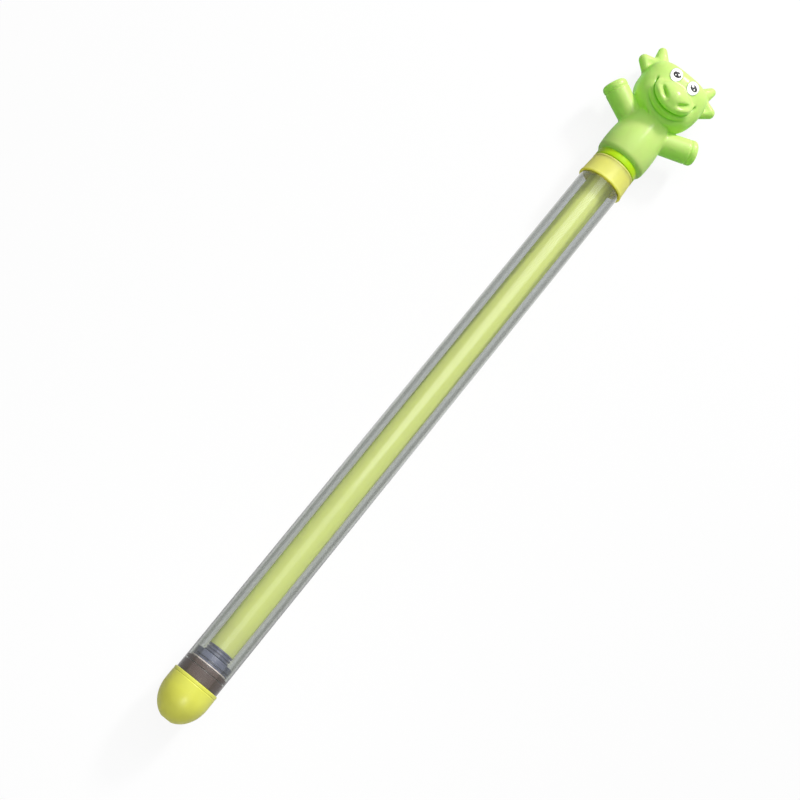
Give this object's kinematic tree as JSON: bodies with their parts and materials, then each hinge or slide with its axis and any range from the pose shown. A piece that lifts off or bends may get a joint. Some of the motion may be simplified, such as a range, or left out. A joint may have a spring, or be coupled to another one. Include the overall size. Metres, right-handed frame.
{
  "type": "water squirter",
  "caption": "Pull-and-push water squirter: clear barrel with a domed nozzle cap, a rod piston that slides and turns in it, and a calf figure as the handle.",
  "frame": {"origin": "centre of the nozzle's mouth, on the barrel axis", "axes": "+X along the barrel axis from the nozzle to the figure, +Z out of the figure's face; the squirter lies on its back"},
  "size_m": [0.4739, 0.0672, 0.0415],
  "materials": {
    "clear_tube": "clear extruded plastic, glossy, faintly smoky",
    "lime_cap": "satin moulded plastic, yellow green",
    "pale_rod": "satin extruded plastic, pale yellow green",
    "slate_plug": "moulded plastic, slate blue",
    "pale_washer": "pale plastic washer",
    "black_seal": "dark moulded rubber, wet",
    "screw_steel": "plated steel",
    "green_band": "moulded plastic, saturated yellow green",
    "green_figure": "glossy moulded plastic, apple green, with printed eyes"
  },
  "bodies": {
    "barrel": {"barrel_tube": "clear_tube", "nozzle_cap": "lime_cap", "collar": "lime_cap"},
    "seal": {"piston_seal": "black_seal"},
    "plunger": {"plunger_rod": "pale_rod", "piston_plug": "slate_plug", "seal_washer": "pale_washer", "seal_retainer": "slate_plug", "piston_screw": "screw_steel", "rod_ferrule": "green_band", "figure_front": "green_figure", "figure_back": "green_figure"}
  },
  "joints": [
    {"name": "plunger_slide", "type": "slide", "parent": "barrel", "child": "seal", "axis": [1, 0, 0], "range_m": [0, 0.3398]},
    {"name": "plunger_spin", "type": "hinge", "parent": "seal", "child": "plunger", "pos_m": [0, 0, 0], "axis": [1, 0, 0], "continuous": true}
  ]
}
